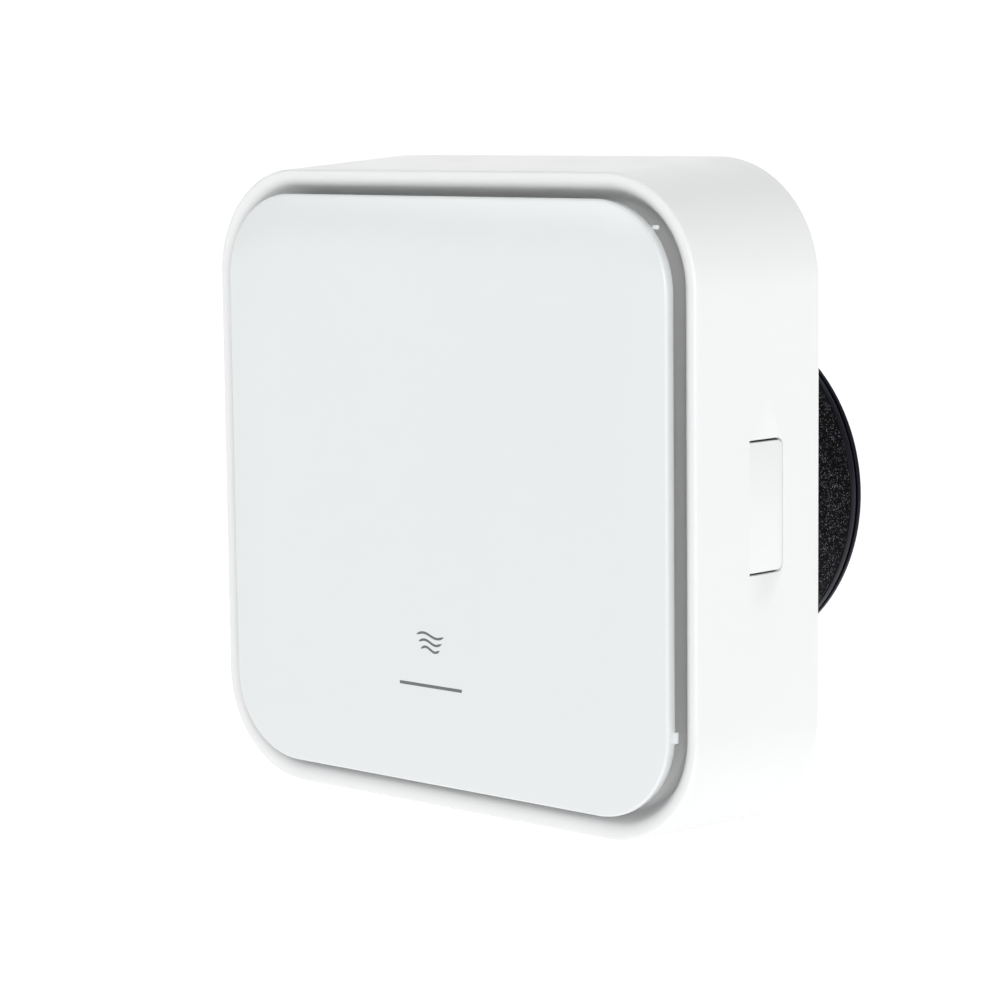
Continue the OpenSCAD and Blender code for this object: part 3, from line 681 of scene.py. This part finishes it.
def make_collar():
    """Smooth ring at the duct's outer end, with a groove and a lip."""
    bm = bmesh.new()
    start, end = COLLAR_LOW.y, COLLAR_HIGH.y
    r = FOAM_R
    profile = [(TUBE_R + 0.1, start), (r - 0.5, start)]
    profile += arc(r - 0.5, start + 0.5, 0.5, 270.0, 360.0, 4)
    profile += arc(r - 0.5, start + 3.4, 0.5, 0.0, 90.0, 4)
    profile += [(r - 1.8, start + 3.95), (r - 1.8, start + 5.4)]
    profile += arc(r - 0.45, start + 5.95, 0.45, 270.0, 360.0, 4)
    profile += arc(r - 0.6, end - 0.6, 0.6, 0.0, 90.0, 5)
    profile += arc(TUBE_BORE + 0.7, end - 0.6, 0.6, 90.0, 180.0, 5)
    profile += [(TUBE_BORE + 0.1, end - 2.4), (TUBE_R + 0.1, end - 2.4)]
    lathe(bm, profile, steps=192)
    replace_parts(finish_mesh("end_collar", bm, "black_plastic", "housing"), "duct_collar")


# --- Assemble ---------------------------------------------------------------------------------

# Edge softening of the CAD nodes that show, in millimetres
EDGE_SIZE = {
    "air_frame": 0.35, "filter_frame": 0.35, "filter_tab": 0.3, "panel_liner": 0.8, "rear_guard": 0.35,
    "wall_plate": 0.2, "latch_catches": 0.25, "air_sensor": 0.4, "control_box": 0.35, "control_cover": 0.3,
    "service_button": 0.4, "shutter_frame": 0.3, "shutter_link": 0.2, "shutter_motor": 0.4,
    "core_handle": 0.4,
    "fan_rotor": 0.25, "fan_shroud": 0.3, "duct_tube": 0.3, "terminal_block": 0.2, "core_retainer": 0.2,
    "shutter_blade_1": 0.2, "shutter_blade_2": 0.2, "shutter_blade_3": 0.2, "shutter_blade_4": 0.2,
}
SLOT_OF = {s["node"]: s["material_slot"] for s in frame["record"]["subparts"]}


def dress_cad_nodes():
    """Gives every CAD node its procedural material, and the nodes that show softened edges."""
    for name, piece in frame["nodes"].items():
        material = MATERIALS[SLOT_OF[name]]
        piece.data.materials.clear()
        piece.data.materials.append(material)
        if name in EDGE_SIZE:
            weld = piece.modifiers.new("weld", "WELD")
            weld.merge_threshold = 0.00001
            soften = piece.modifiers.new("soften", "BEVEL")
            soften.width = EDGE_SIZE[name] * MM
            soften.segments = 2
            soften.limit_method = "ANGLE"
            soften.angle_limit = math.radians(50.0)
            soften.harden_normals = True


dress_cad_nodes()
make_casing()
make_latch(1, "latch_right", "latch_right")
make_latch(-1, "latch_left", "latch_left")
make_panel()
make_mark()
make_foam()
make_collar()

# --- Studio -----------------------------------------------------------------------------------

CAMERA_AT = Vector((0.88404, -1.02603, 0.16406))
CAMERA_YAW = 41.890
CAMERA_PITCH = -7.330
CAMERA_ROLL = -0.632
CAMERA_LENS = 111.18
FLOOR_Z = -0.45
FLOOR_SCALE = 30.0
FLOOR_GLOW = 0.38
WORLD_BASE = 0.44
# Direction, angles at which the lobe starts and is full, and its strength
LOBES = (
    ((0.78, -0.61, 0.13), 26.0, 10.0, 4.2),
    ((0.0, 0.0, 1.0), 36.0, 14.0, 0.50),
    ((-0.60, -0.78, 0.20), 12.0, 6.0, 1.8),
    ((-0.66, 0.74, 0.0), 60.0, 35.0, 0.85),
)


def make_camera():
    """The view from the unit's front right, a little above it."""
    data = bpy.data.cameras.new("camera")
    data.lens = CAMERA_LENS
    data.sensor_width = 36.0
    camera = bpy.data.objects.new("camera", data)
    bpy.context.scene.collection.objects.link(camera)
    turn = Matrix.Rotation(math.radians(CAMERA_YAW), 4, "Z")
    turn @= Matrix.Rotation(math.radians(90.0 + CAMERA_PITCH), 4, "X")
    turn @= Matrix.Rotation(math.radians(CAMERA_ROLL), 4, "Z")
    camera.matrix_world = Matrix.Translation(CAMERA_AT) @ turn
    bpy.context.scene.camera = camera


def make_floor():
    """Plain white floor with a faint glow of its own, so that it stays pale."""
    bm = bmesh.new()
    bmesh.ops.create_grid(bm, x_segments=2, y_segments=2, size=1.0)
    bmesh.ops.scale(bm, vec=(FLOOR_SCALE, FLOOR_SCALE, 1.0), verts=bm.verts)
    bmesh.ops.translate(bm, vec=(0.0, 0.0, FLOOR_Z), verts=bm.verts)
    mesh = bpy.data.meshes.new("floor")
    bm.to_mesh(mesh)
    bm.free()
    floor = bpy.data.objects.new("floor", mesh)
    bpy.context.scene.collection.objects.link(floor)
    shader = Shader("floor_white")
    tone = shader.spread(shader.noise(0.4), 0.0, 1.0)
    shader.colour(shader.blend_colours(tone, (0.95, 0.95, 0.95), (0.94, 0.94, 0.94)))
    shader.set(Roughness=0.9, Emission_Color=(1.0, 1.0, 1.0, 1.0), Emission_Strength=FLOOR_GLOW)
    mesh.materials.append(shader.material)


def make_world():
    """White studio: an even base with soft, wide lobes that brighten or dim chosen directions."""
    world = bpy.data.worlds.new("studio")
    world.use_nodes = True
    tree = world.node_tree
    toward = tree.nodes.new("ShaderNodeTexCoord").outputs["Generated"]
    total = None
    for direction, start, full, power in LOBES:
        dot = tree.nodes.new("ShaderNodeVectorMath")
        dot.operation = "DOT_PRODUCT"
        tree.links.new(toward, dot.inputs[0])
        dot.inputs[1].default_value = Vector(direction).normalized()
        ramp = tree.nodes.new("ShaderNodeMapRange")
        ramp.interpolation_type = "SMOOTHSTEP"
        edges = [math.cos(math.radians(a)) for a in (start, full)]
        ends = (("From Min", edges[0]), ("From Max", edges[1]), ("To Min", 0.0), ("To Max", power))
        for key, value in ends:
            ramp.inputs[key].default_value = value
        tree.links.new(dot.outputs["Value"], ramp.inputs["Value"])
        add = tree.nodes.new("ShaderNodeMath")
        add.operation = "ADD"
        tree.links.new(ramp.outputs["Result"], add.inputs[0])
        if total is None:
            add.inputs[1].default_value = WORLD_BASE
        else:
            tree.links.new(total, add.inputs[1])
        total = add.outputs["Value"]
    background = tree.nodes["Background"]
    background.inputs["Color"].default_value = (1.0, 1.0, 1.0, 1.0)
    tree.links.new(total, background.inputs["Strength"])
    bpy.context.scene.world = world


make_camera()
make_world()
make_floor()
bpy.context.scene.view_settings.view_transform = "Standard"
